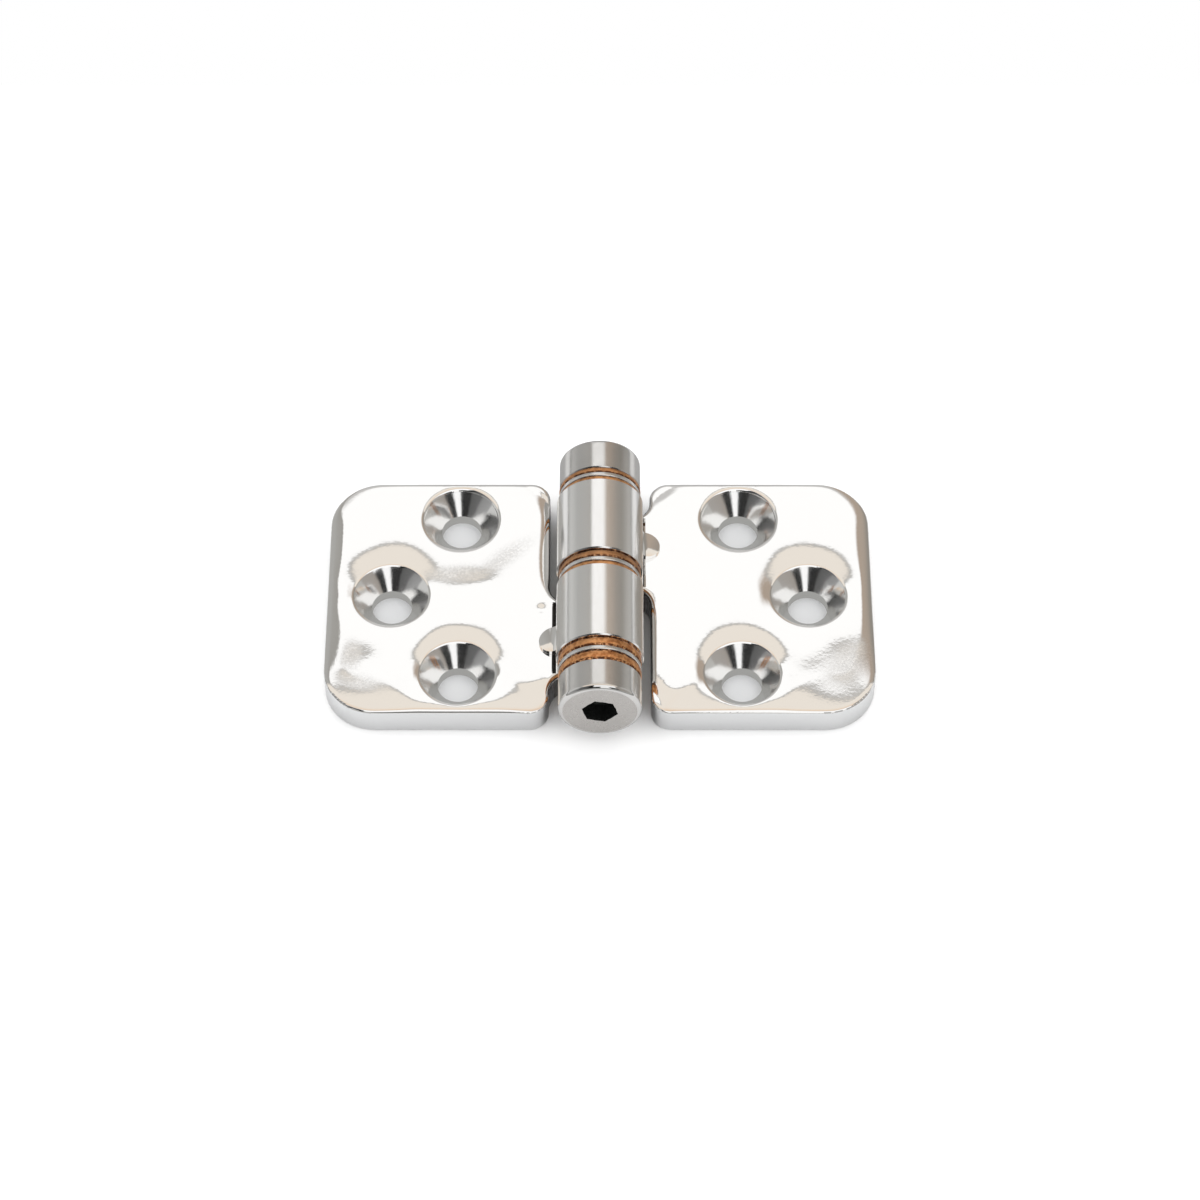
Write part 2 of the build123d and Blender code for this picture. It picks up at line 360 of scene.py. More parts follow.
@dataclass(frozen=True)
class TurnedStainless:
    """Fine turned steel: rings round the pivot on sides and faces alike."""

    name: str = "turned_stainless"
    colour: Colour = (0.78, 0.765, 0.745, 1.0)
    roughness: tuple[float, float] = (0.13, 0.24)
    strength: float = 1.0
    ring_depth: float = 0.0008 * MM
    grain_depth: float = 0.0009 * MM

    def material(self) -> bpy.types.Material:
        """Makes the material."""
        material, g, shader = new_material(self.name)
        place = g.place()
        x, y, z = g.split(place)
        radius = g.reach(x, g.minus(z, PIVOT_HEIGHT * MM))
        rings = g.times(g.noise(g.vector(radius, y, 0.0), 9000.0, 2.0, 0.6), self.ring_depth)
        grain = g.times(g.noise(place, 5200.0, 3.0, 0.65), self.grain_depth)
        colour = g.blend(g.noise(place, 500.0, 3.0, 0.6), dimmed(self.colour, 0.86), self.colour)
        rough = g.mix(g.noise(place, 1500.0, 3.0, 0.7), *self.roughness)
        g.dress(shader, colour, rough, g.plus(rings, grain), self.strength)
        return material


@dataclass(frozen=True)
class CutSeat:
    """Countersink, cut after polishing: a bright cone with fine chatter."""

    colour: Colour = (0.9, 0.895, 0.885, 1.0)
    roughness: tuple[float, float] = (0.08, 0.2)
    grain_depth: float = 0.002 * MM
    wave_depth: float = 0.003 * MM

    def material(self) -> bpy.types.Material:
        """Makes the material."""
        material, g, shader = new_material("cut_seat")
        place = g.place()
        grain = g.noise(place, 4200.0, 3.0, 0.65)
        wave = g.noise(place, 1300.0, 2.0, 0.5)
        height = g.plus(g.times(grain, self.grain_depth), g.times(wave, self.wave_depth))
        g.dress(shader, self.colour, g.mix(grain, *self.roughness), height)
        return material


@dataclass(frozen=True)
class SeamShadow:
    """The open seam beside the roll, with painted shade: a dark colour that stands in for the shadow in the deep seam.
    """

    colour: Colour = (0.03, 0.026, 0.022, 1.0)
    deepest_seam_shade: Colour = (0.012, 0.01, 0.01, 1.0)

    def material(self) -> bpy.types.Material:
        """Makes the material."""
        material, g, shader = new_material("seam_shadow")
        # Painted shade: noise mixes two depths of dark colour that stand in for the seam's shadow
        g.dress(shader, g.blend(g.noise(g.place(), 2500.0), self.deepest_seam_shade, self.colour), 0.55)
        g.feed(shader, {"Metallic": 0.3})
        return material


@dataclass(frozen=True)
class SocketPaintedShade:
    """Painted shade inside the hexagon sockets: a dark colour that stands in for the shadow in the deep recess."""

    colour: Colour = (0.1, 0.105, 0.1, 1.0)
    deepest_socket_shade: Colour = (0.03, 0.032, 0.03, 1.0)
    roughness: tuple[float, float] = (0.12, 0.3)

    def material(self) -> bpy.types.Material:
        """Makes the material."""
        material, g, shader = new_material("socket_painted_shade")
        patch = g.noise(g.place(), 1500.0, 3.0, 0.6)
        # Painted shade: noise mixes a darker and a lighter shade of the socket's shadow
        g.dress(shader, g.blend(patch, self.deepest_socket_shade, self.colour), g.mix(patch, *self.roughness))
        g.feed(shader, {"Metallic": 0.9})
        return material


@dataclass(frozen=True)
class CopperAlloy:
    """Plain copper washers: bright rubbed crown, brown staining, and torn edges with dark spots, partly real staining
    and partly painted shade between the washers, and bright specks, partly bare metal and partly painted glints.
    """

    bright: Colour = (0.87, 0.44, 0.19, 1.0)
    brown: Colour = (0.5, 0.2, 0.075, 1.0)
    dull_brown: Colour = (0.36, 0.2, 0.11, 1.0)
    stain_and_shade: Colour = (0.12, 0.045, 0.022, 1.0)
    fleck_and_glint: Colour = (0.95, 0.6, 0.38, 1.0)
    roughness: tuple[float, float] = (0.24, 0.46)
    speck_depth: float = 0.01 * MM
    cloud_depth: float = 0.016 * MM
    tear_depth: float = 0.05 * MM

    def material(self) -> bpy.types.Material:
        """Makes the material."""
        material, g, shader = new_material("copper_alloy")
        place = g.place()
        torn = g.add("ShaderNodeAttribute", attribute_name="torn").outputs["Fac"]
        dull = g.add("ShaderNodeAttribute", attribute_name="dull").outputs["Fac"]
        cloud = g.noise(place, 1400.0, 4.0, 0.65)
        speck = g.noise(place, 5200.0, 3.0, 0.7)
        flake = g.noise(place, 1700.0, 6.0, 0.75)
        colour = g.blend(g.step(cloud, 0.35, 0.62), self.brown, self.bright)
        colour = g.blend(g.times(dull, g.mix(cloud, 1.0, 0.4)), colour, self.dull_brown)
        # Along the torn edges: bright specks are partly bare metal and partly painted glints, dark spots partly real
        # staining and partly painted shade between the washers
        flecks_and_glints = g.times(g.step(torn, 0.2, 0.7), g.step(flake, 0.44, 0.36))
        pits_and_shade = g.times(g.step(torn, 0.15, 0.6), g.step(flake, 0.42, 0.54))
        colour = g.blend(pits_and_shade, g.blend(flecks_and_glints, colour, self.fleck_and_glint), self.stain_and_shade)
        grain = g.plus(g.times(speck, self.speck_depth), g.times(cloud, self.cloud_depth))
        height = g.plus(grain, g.times(torn, flake, self.tear_depth))
        g.dress(shader, colour, g.mix(speck, *self.roughness), height)
        return material


# ---------------------------------------------------------------- meshes


def smooth_step(values: np.ndarray) -> np.ndarray:
    """Rises smoothly from 0 to 1 over the same range."""
    t = np.clip(values, 0.0, 1.0)
    return t * t * (3.0 - 2.0 * t)


def merged(mesh: bpy.types.Mesh) -> tuple[np.ndarray, np.ndarray]:
    """Points and triangles of a mesh, with equal points made one, in millimetres."""
    mesh.calc_loop_triangles()
    points = np.empty(len(mesh.vertices) * 3)
    mesh.vertices.foreach_get("co", points)
    faces = np.empty(len(mesh.loop_triangles) * 3, dtype=np.int64)
    mesh.loop_triangles.foreach_get("vertices", faces)
    keys, index = np.unique(np.round(points.reshape(-1, 3) / MM, 3), axis=0, return_inverse=True)
    faces = index.reshape(-1)[faces.reshape(-1, 3)]
    a, b, c = faces.T
    return keys, faces[(a != b) & (b != c) & (a != c)]


def face_normals(points: np.ndarray, faces: np.ndarray) -> np.ndarray:
    """Unit normals of triangles."""
    a, b, c = (points[faces[:, i]] for i in range(3))
    normals = np.cross(b - a, c - a)
    return normals / np.maximum(np.linalg.norm(normals, axis=1, keepdims=True), 1e-12)


def edge_table(faces: np.ndarray) -> tuple[np.ndarray, np.ndarray, np.ndarray, np.ndarray, np.ndarray]:
    """Lists the edges of triangles.

    Args:
        faces: The triangles.

    Returns:
        Each edge's two points, each triangle's three edges, how many triangles share each
        edge, and the first and the second of them.
    """
    edges = np.sort(faces[:, [0, 1, 1, 2, 2, 0]].reshape(-1, 2), axis=1)
    keys, inverse, count = np.unique(edges, axis=0, return_inverse=True, return_counts=True)
    inverse = inverse.reshape(-1)
    owner = np.repeat(np.arange(len(faces)), 3)
    order = np.argsort(inverse, kind="stable")
    starts = np.concatenate([[0], np.cumsum(count)[:-1]])
    second = owner[order[np.minimum(starts + 1, len(order) - 1)]]
    return keys, inverse.reshape(-1, 3), count, owner[order[starts]], second


def split_faces(faces: np.ndarray, cuts: np.ndarray) -> np.ndarray:
    """Splits triangles at new points on their edges.

    Args:
        faces: The triangles.
        cuts: The new point on each of their three edges, or -1.

    Returns:
        The finer triangles.
    """
    out = []
    for v, e in zip(faces.tolist(), cuts.tolist()):
        cut = [k for k in range(3) if e[k] >= 0]
        if not cut:
            out.append(v)
        elif len(cut) == 1:
            k = cut[0]
            out += [[v[k], e[k], v[k - 1]], [e[k], v[(k + 1) % 3], v[k - 1]]]
        elif len(cut) == 2:
            k = next(j for j in range(3) if e[j] < 0)
            p, q, r, m, n = v[k], v[(k + 1) % 3], v[k - 1], e[(k + 1) % 3], e[k - 1]
            out += [[m, r, n], [q, m, n], [p, q, n]]
        else:
            out += [[v[0], e[0], e[2]], [v[1], e[1], e[0]], [v[2], e[2], e[1]], e]
    return np.array(out)


def plan_distance(places: np.ndarray, segments: np.ndarray) -> np.ndarray:
    """Least distance in plan from each place to a set of segments."""
    best = np.full(len(places), 1e9)
    for start, end in segments:
        run = end - start
        t = np.clip(((places - start) @ run) / max(run @ run, 1e-12), 0.0, 1.0)
        best = np.minimum(best, np.hypot(*(places - start - t[:, None] * run).T))
    return best


def inside(places: np.ndarray, segments: np.ndarray) -> np.ndarray:
    """Tells which places lie inside a set of closed loops."""
    crossings = np.zeros(len(places), dtype=int)
    for (ax, ay), (bx, by) in segments:
        if ay == by:
            continue
        spans = (places[:, 1] >= min(ay, by)) & (places[:, 1] < max(ay, by))
        crossings += spans & (ax + (places[:, 1] - ay) * (bx - ax) / (by - ay) > places[:, 0])
    return crossings % 2 == 1


def add_object(name: str, data: object) -> bpy.types.Object:
    """Adds an object to the scene, at the origin."""
    added = bpy.data.objects.new(name, data)
    bpy.context.scene.collection.objects.link(added)
    return added


def make_object(
    name: str, points: np.ndarray, faces: list | np.ndarray, materials: list[bpy.types.Material], sharp_deg: float
) -> bpy.types.Object:
    """Makes a smooth-shaded object at the origin, with its sharp edges kept.

    Args:
        name: The object's name.
        points: Its points.
        faces: Its faces, as point numbers.
        materials: Its materials.
        sharp_deg: The fold above which an edge stays sharp.

    Returns:
        The new object.
    """
    mesh = bpy.data.meshes.new(name)
    mesh.from_pydata((np.asarray(points) * MM).tolist(), [], [list(map(int, f)) for f in faces])
    mesh.validate()
    mesh.shade_smooth()
    mesh.set_sharp_from_angle(angle=math.radians(sharp_deg))
    for material in materials:
        mesh.materials.append(material)
    return add_object(name, mesh)


def lay(piece: bpy.types.Object, body: str, slot: str, *nodes: str) -> None:
    """Gives a finished piece its body and hides the CAD nodes that it stands for."""
    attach(piece, body)
    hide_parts(*nodes)
    LOG.info("%s rides on %s: %d faces", piece.name, body, len(piece.data.polygons))


# ---------------------------------------------------------------- leaves


@dataclass(frozen=True)
class Seat:
    """The soft shoulder round one screw hole."""

    x: float
    y: float
    near: tuple[float, float]
    wide: tuple[float, float]
    up: float = 1.0

    def away(self, plan: np.ndarray) -> np.ndarray:
        """Distance in plan of each place from the hole's middle."""
        return np.hypot(plan[..., 0] - self.x, plan[..., 1] - self.y)

    def drop(self, plan: np.ndarray, rim: float) -> np.ndarray:
        """How far the sheet is drawn down at each place, deepest on the side that up names."""
        apart = np.maximum(self.away(plan), 1e-9)
        outside = np.maximum(apart - rim, 0.0)
        rise = (plan[:, 1] - self.y) * self.up / apart
        reach = self.wide[1] * (0.45 + 0.55 * np.abs(rise))
        depth = self.wide[0] * (0.25 + 0.75 * smooth_step((rise + 0.9) / 1.4))
        return self.near[0] * np.exp(-outside / self.near[1]) + depth * np.exp(-((outside / reach) ** 2))


@dataclass(frozen=True)
class Sag:
    """A soft hollow of the sheet, long along one direction."""

    x: float
    y: float
    depth: float
    across: float
    along: float
    turn_deg: float = 0.0

    def drop(self, plan: np.ndarray) -> np.ndarray:
        """How far the sheet lies lower at each place."""
        cos, sin = math.cos(math.radians(self.turn_deg)), math.sin(math.radians(self.turn_deg))
        dx, dy = plan[:, 0] - self.x, plan[:, 1] - self.y
        u, v = dx * cos + dy * sin, dy * cos - dx * sin
        return self.depth * np.exp(-((u / self.along) ** 2) - (v / self.across) ** 2)


@dataclass
class LeafPressing:
    """One leaf, pressed from the CAD leaf with a soft top.

    Points are worked out as for the right leaf; the left one is turned half round. Each of
    the brims is a place on the outline, with how wide the soft brim is there and how far it
    falls.
    """

    hand: Hand
    body: str
    sags: list[Sag] = field(default_factory=list)
    brims: list[tuple[float, float, float, float]] = field(default_factory=list)
    open_seam: bool = False
    height: float = 4.6
    wall_top: float = 4.0
    outer_edge: float = 37.2
    inner_edge: float = 6.9
    outer_corner: float = 7.0
    inner_corner: float = 2.7
    groove_edge: float = 6.3
    strap: tuple[float, float] = (1.975, 13.775)
    strap_flare: float = 3.0
    swing: float = 6.3
    tab_centre: tuple[float, float] = (6.25, 0.8)
    hole_x: tuple[float, float] = (19.2, 28.5)
    hole_pitch: float = 25.8
    rim_radius: float = 5.05
    rim_drop: float = 0.25
    lip: tuple[float, float] = (0.3, 0.5)
    turn_down: tuple[float, float] = (0.72, 0.1)
    most_drop: float = 0.58
    wave: float = 0.006
    round_core: float = 7.0
    same: float = 0.003
    grid: float = 0.42
    brim_rows: tuple[float, ...] = (0.015, 0.045, 0.09, 0.14, 0.2, 0.28, 0.38, 0.5, 0.65, 0.85, 1.1, 1.4)
    rim_rows: tuple[float, ...] = (0.03, 0.08, 0.14, 0.21, 0.29, 0.4, 0.6, 0.85, 1.1)

    def turned(self, points: np.ndarray) -> np.ndarray:
        """Turns points half round about the leaves' middle, for the left leaf."""
        if self.hand is Hand.RIGHT:
            return points
        out = points.copy()
        out[:, 0] = -points[:, 0]
        out[:, 1] = 2 * LEAF_MIDDLE - points[:, 1]
        return out

    def ends(self) -> tuple[float, float]:
        """The leaf's near and far ends."""
        return LEAF_MIDDLE - LEAF_HALF_LENGTH, LEAF_MIDDLE + LEAF_HALF_LENGTH

    def seats(self) -> list[Seat]:
        """The three screw seats, with the draw-in that each one shows."""
        soft = ((0.07, 0.4), (0.21, 1.95))
        tight = ((0.25, 0.24), (0.0, 1.0))
        middle = ((0.07, 0.4), (0.25, 2.7))
        at_near, at_far = (soft, tight) if self.hand is Hand.RIGHT else (tight, soft)
        up = 1.0 if self.hand is Hand.RIGHT else -1.0
        return [
            Seat(self.hole_x[0], LEAF_MIDDLE - self.hole_pitch / 2, *at_near, up),
            Seat(self.hole_x[0], LEAF_MIDDLE + self.hole_pitch / 2, *at_far, up),
            Seat(self.hole_x[1], LEAF_MIDDLE, *middle, up),
        ]

    def round_centres(self) -> list[tuple[float, float]]:
        """Where the upright axes of the seats, the corners and the tab lie in plan."""
        low, high = self.ends()
        outer, inner, flare = self.outer_corner, self.inner_corner, self.strap_flare
        return [
            *((seat.x, seat.y) for seat in self.seats()),
            *((self.outer_edge - outer, y) for y in (low + outer, high - outer)),
            *((self.inner_edge + inner, y) for y in (low + inner, high - inner)),
            *((self.inner_edge - flare, y) for y in (self.strap[0] - flare, self.strap[1] + flare)),
            (self.tab_centre[0], sum(self.strap) / 2 + self.tab_centre[1]),
        ]

    def rounded(self, points: np.ndarray, faces: np.ndarray, rounds: int = 2) -> tuple[np.ndarray, np.ndarray]:
        """Splits the chords of every round edge and puts the new points on the round.

        Args:
            points: Points of the leaf.
            faces: Its triangles.
            rounds: How many times each chord is halved.

        Returns:
            The finer points and triangles.
        """
        for _ in range(rounds):
            normals = face_normals(points, faces)
            keys, sides, count, first, second = edge_table(faces)
            a, b = points[keys[:, 0]], points[keys[:, 1]]
            tilt = np.abs(normals[first, 2])
            on_cone = (np.abs(a[:, 2] - b[:, 2]) < 0.004) & (tilt > 0.3) & (tilt < 0.9)
            folded = np.einsum("ij,ij->i", normals[first], normals[second]) < 0.99995
            free = (count == 2) & (folded | on_cone)
            middle = (a + b) / 2
            moved = middle.copy()
            marked = np.zeros(len(keys), dtype=bool)
            axes = [((0, 2), (0.0, PIVOT_HEIGHT), 6.35)]
            axes += [((0, 1), centre, 7.2) for centre in self.round_centres()]
            for plane, centre, reach in axes:
                ra, rb, rm = (np.hypot(*(p[:, plane] - centre).T) for p in (a, b, middle))
                fit = free & ~marked & (ra <= reach) & (np.abs(ra - rb) < 0.004) & (ra > 0.4)
                fit &= (ra - rm > 0.0015) & (ra - rm < 0.09 * ra)
                stretch = (ra[fit] / rm[fit])[:, None]
                moved[np.ix_(fit, plane)] = centre + (middle[fit][:, plane] - centre) * stretch
                marked |= fit
            new_index = np.full(len(keys), -1)
            new_index[marked] = len(points) + np.arange(marked.sum())
            points = np.vstack([points, moved[marked]])
            faces = split_faces(faces, new_index[sides])
        return points, faces

    def skin_mask(self, points: np.ndarray, faces: np.ndarray) -> np.ndarray:
        """Finds the triangles of the top sheet, from the rounded brim to the rims."""
        corners = points[faces]
        x, y, z = np.moveaxis(corners, 2, 0)
        middle_x, middle_z = x.mean(axis=1), z.mean(axis=1)
        foot = z.max(axis=1) < self.wall_top + 0.1
        mask = (face_normals(points, faces)[:, 2] > 0.02) | (middle_x > self.inner_edge + 0.3) | foot
        mask &= (z.min(axis=1) > self.wall_top - self.same) & (middle_z > self.wall_top + 0.0005)
        mask &= (middle_z < self.height + 0.001) & (middle_x > 3.5)
        for seat in self.seats():
            mask &= seat.away(corners.mean(axis=1)) > self.rim_radius - 0.02
        mask &= ~np.all(np.abs(np.hypot(x, z - PIVOT_HEIGHT) - self.swing) < 0.01, axis=1)
        in_strap = np.all((y > self.strap[0] - 0.005) & (y < self.strap[1] + 0.005), axis=1)
        return mask & ~(in_strap & np.all(x < self.groove_edge + 0.005, axis=1))

    def core_box(self) -> tuple[np.ndarray, np.ndarray]:
        """Corners of the box that all round brims turn about."""
        low, high = self.ends()
        return (
            np.array([self.inner_edge, low]) + self.round_core,
            np.array([self.outer_edge, high]) - self.round_core,
        )

    def depth_in(self, plan: np.ndarray) -> np.ndarray:
        """How far inside the softly rounded outline each place lies."""
        return self.round_core - np.hypot(*(plan - np.clip(plan, *self.core_box())).T)

    def way_round(self, plan: np.ndarray) -> np.ndarray:
        """How far round the leaf each place lies, without a jump at any corner."""
        low, high = self.core_box()
        core = np.clip(plan, low, high)
        away = plan - core
        turn = np.mod(np.arctan2(away[:, 1], away[:, 0]) + math.pi / 2, 2 * math.pi)
        runs = (core[:, 0] - low[0], core[:, 1] - low[1], high[0] - core[:, 0], high[1] - core[:, 1])
        along = self.round_core * turn
        for side, run in enumerate(runs):
            corner = side * math.pi / 2
            whole = high[side % 2] - low[side % 2]
            along += np.where(turn < corner - 1e-9, 0.0, np.where(turn < corner + 1e-9, run, whole))
        return along

    def brim_shape(self, plan: np.ndarray) -> tuple[np.ndarray, np.ndarray]:
        """How wide the soft brim is at each place, and how far it falls."""
        stops = np.array(self.brims)
        at_stop = self.way_round(stops[:, :2])
        order = np.argsort(at_stop)
        at_stop, values = at_stop[order], stops[order, 2:]
        low, high = self.core_box()
        lap = 2 * math.pi * self.round_core + 2 * (high - low).sum()
        at_stop = np.concatenate([at_stop[-2:] - lap, at_stop, at_stop[:2] + lap])
        values = np.vstack([values[-2:], values, values[:2]])
        slopes = (values[2:] - values[:-2]) / (at_stop[2:] - at_stop[:-2])[:, None]
        slopes = np.vstack([slopes[:1], slopes, slopes[-1:]])
        here = self.way_round(plan)
        k = np.clip(np.searchsorted(at_stop, here, side="right") - 1, 0, len(at_stop) - 2)
        run = (at_stop[k + 1] - at_stop[k])[:, None]
        t = (here - at_stop[k])[:, None] / run
        shape = (1 + 2 * t) * (1 - t) ** 2 * values[k] + t * (1 - t) ** 2 * run * slopes[k]
        shape += t * t * (3 - 2 * t) * values[k + 1] + t * t * (t - 1) * run * slopes[k + 1]
        return np.maximum(shape[:, 0], 0.3), np.maximum(shape[:, 1], 0.0)

    def top(self, plan: np.ndarray, to_wall: np.ndarray, to_cut: np.ndarray) -> np.ndarray:
        """Height of the sheet's top.

        Args:
            plan: Places in plan.
            to_wall: Their distances from the outline.
            to_cut: Their distances from the rims, the groove and the tab.

        Returns:
            The heights.
        """
        width, fall = self.brim_shape(plan)
        bow = 1.5 - 0.25 * smooth_step((fall - 0.28) / 0.12)
        drop = fall * np.clip(1.0 - self.depth_in(plan) / width, 0.0, 1.4) ** bow
        drop += self.turn_down[1] * np.clip(1.0 - to_wall / self.turn_down[0], 0.0, 1.0) ** 2
        reach, bend = self.lip
        for seat in self.seats():
            over = np.clip(reach - np.maximum(seat.away(plan) - self.rim_radius, 0.0), 0.0, None)
            drop += seat.drop(plan, self.rim_radius) + bend - np.sqrt(bend**2 - over**2)
        soft = smooth_step(to_cut / 2.0)
        for sag in self.sags:
            drop += sag.drop(plan) * soft
        x, y = plan.T
        ripple = np.sin(0.71 * x + 0.23 * y) * np.sin(0.19 * x - 0.83 * y + 1.3)
        drop += self.wave * (1.0 + ripple) * soft
        drop /= (1.0 + (drop / self.most_drop) ** 12) ** (1 / 12)

        # The edge turns down to the wall on as large a round as the sheet leaves room for
        radius = np.maximum(self.height - drop - self.wall_top, 0.03)
        run = np.clip(radius - to_wall, 0.0, radius)
        return self.height - drop - radius + np.sqrt(radius**2 - run**2)

    def marks(self, points: np.ndarray, faces: np.ndarray) -> np.ndarray:
        """Tells which finish each face takes: 0 polish, 1 cut seat, 2 the seam's painted shade."""
        facing = face_normals(points, faces)[:, 2]
        corners = points[faces]
        x, y, z = corners.mean(axis=1).T
        marks = np.zeros(len(faces), dtype=np.int32)
        for seat in self.seats():
            marks[(seat.away(corners).max(axis=1) < self.rim_radius + 0.005) & (facing > -0.2) & (z > 0.2)] = 1
        # Faces in the open seam take painted shade, a dark colour for the shadow in the deep groove
        if self.open_seam:
            seam = (corners[:, :, 0] < self.groove_edge + 0.21).all(axis=1) & (x > 5.7)
            seam &= (z < self.height + 0.01) & (facing > 0.2) & (y > self.strap[0]) & (y < self.strap[1])
            marks[seam] = 2
        return marks

    def places(self, walls: np.ndarray, cuts: np.ndarray, border: np.ndarray) -> np.ndarray:
        """Picks the places of the new top's points.

        Args:
            walls: Segments of the outline.
            cuts: Segments round the rims, the groove and the tab.
            border: All of them.

        Returns:
            Rows along the brim, rings round the rims, a fine lattice and a row at the seam.
        """
        rows = []
        for start, end in walls:
            run = end - start
            size = np.hypot(*run)
            side = np.array([-run[1], run[0]]) / max(size, 1e-9)
            steps = max(int(size / 0.35), 1)
            for k in range(steps):
                foot = start + run * (k + 0.5) / steps
                rows += [(*(foot + side * row * sign), row) for row in self.brim_rows for sign in (1.0, -1.0)]
        rows = np.array(rows)
        rows = rows[plan_distance(rows[:, :2], walls) > rows[:, 2] * 0.85][:, :2]
        low, high = self.ends()
        x, y = np.meshgrid(
            np.arange(self.groove_edge - 1.0, self.outer_edge, self.grid), np.arange(low, high, self.grid * 0.866)
        )
        x = x + (np.arange(x.shape[0]) % 2)[:, None] * self.grid / 2
        lattice = np.stack([x.ravel(), y.ravel()], axis=1)
        lattice = lattice[plan_distance(lattice, walls) > 1.6]
        rings = []
        for seat in self.seats():
            for away in self.rim_rows:
                angles = np.linspace(0, 2 * math.pi, 128, endpoint=False) + away
                radius = self.rim_radius + away
                rings.append(np.stack([seat.x + radius * np.cos(angles), seat.y + radius * np.sin(angles)], axis=1))
            lattice = lattice[seat.away(lattice) > self.rim_radius + 1.25]
            rows = rows[seat.away(rows) > self.rim_radius + 0.33]
        rings = np.vstack(rings)
        rings = rings[plan_distance(rings, walls) > 0.5]
        along = np.arange(self.strap[0] + 0.1, self.strap[1], 0.2)
        seam = np.stack([np.full_like(along, self.groove_edge + 0.2), along], axis=1)
        places = np.vstack([rows, lattice, rings, seam])
        places = places[plan_distance(places, cuts) > 0.012]
        places = places[inside(places, border)]
        return places[np.unique(np.round(places / 0.03).astype(int), axis=0, return_index=True)[1]]

    def press(self, points: np.ndarray, skin: np.ndarray) -> tuple[np.ndarray, np.ndarray, np.ndarray]:
        """Makes the new top in place of the old skin.

        Args:
            points: Points of the leaf.
            skin: The old skin's triangles.

        Returns:
            The old and new points, the new triangles, and which points are on a rim.
        """
        keys, _, count, _, _ = edge_table(skin)
        border = keys[count == 1]
        ring = np.unique(border)
        plan = points[:, :2]
        on_wall = np.all(np.abs(points[border, 2] - self.wall_top) < self.same, axis=1)
        walls, cuts = plan[border[on_wall]], plan[border[~on_wall]]
        local = {int(v): i for i, v in enumerate(ring)}
        seeds = [Vector(p) for p in plan[ring]] + [Vector(p) for p in self.places(walls, cuts, plan[border])]
        lines = [(local[int(a)], local[int(b)]) for a, b in border]
        places, _, triangles, origins, _, _ = delaunay_2d_cdt(seeds, lines, [], 0, 1e-5, True)
        places = np.array([(p.x, p.y) for p in places])
        triangles = np.array([list(f) for f in triangles])
        triangles = triangles[inside(places[triangles].mean(axis=1), plan[border])]
        heights = self.top(places, plan_distance(places, walls), plan_distance(places, cuts))
        known = np.array([next((s for s in source if s < len(ring)), -1) for source in origins])
        fresh = known < 0
        index = np.where(fresh, len(points) - 1 + np.cumsum(fresh), ring[known])
        points = np.vstack([points, np.column_stack([places, heights])[fresh]])
        triangles = index[triangles]
        flip = face_normals(points, triangles)[:, 2] < 0
        triangles[flip] = triangles[flip][:, ::-1]

        # The rims follow the lip down
        rim = np.zeros(len(points), dtype=bool)
        for seat in self.seats():
            rim |= np.abs(seat.away(points) - self.rim_radius) < 0.01
        rim &= np.abs(points[:, 2] - (self.height - self.rim_drop)) < 0.01
        at_rim = points[rim, :2]
        points[rim, 2] = self.top(at_rim, plan_distance(at_rim, walls), np.zeros(len(at_rim)))
        return points, triangles, rim

    def build(self, node: bpy.types.Object, materials: list[bpy.types.Material]) -> None:
        """Presses the leaf.

        Args:
            node: The CAD leaf, whose copy gives every other surface.
            materials: The finishes of its polish and its seats, and the painted shade of its seam.
        """
        points, faces = merged(node.data)
        points, faces = self.rounded(self.turned(points), faces)
        skin = self.skin_mask(points, faces)
        points, new_faces, rim = self.press(points, faces[skin])
        faces = np.vstack([faces[~skin], new_faces])
        marks = self.marks(points, faces)
        used, faces_used = np.unique(faces, return_inverse=True)
        piece = make_object(
            self.hand.value + "_pressing", self.turned(points[used]), faces_used.reshape(faces.shape), materials, 26.0
        )
        piece.data.polygons.foreach_set("material_index", marks)
        rim = rim[used]
        for edge in piece.data.edges:
            if rim[edge.vertices[0]] and rim[edge.vertices[1]]:
                edge.use_edge_sharp = True
        lay(piece, self.body, "polished_stainless", self.hand.value)


# ---------------------------------------------------------------- washers


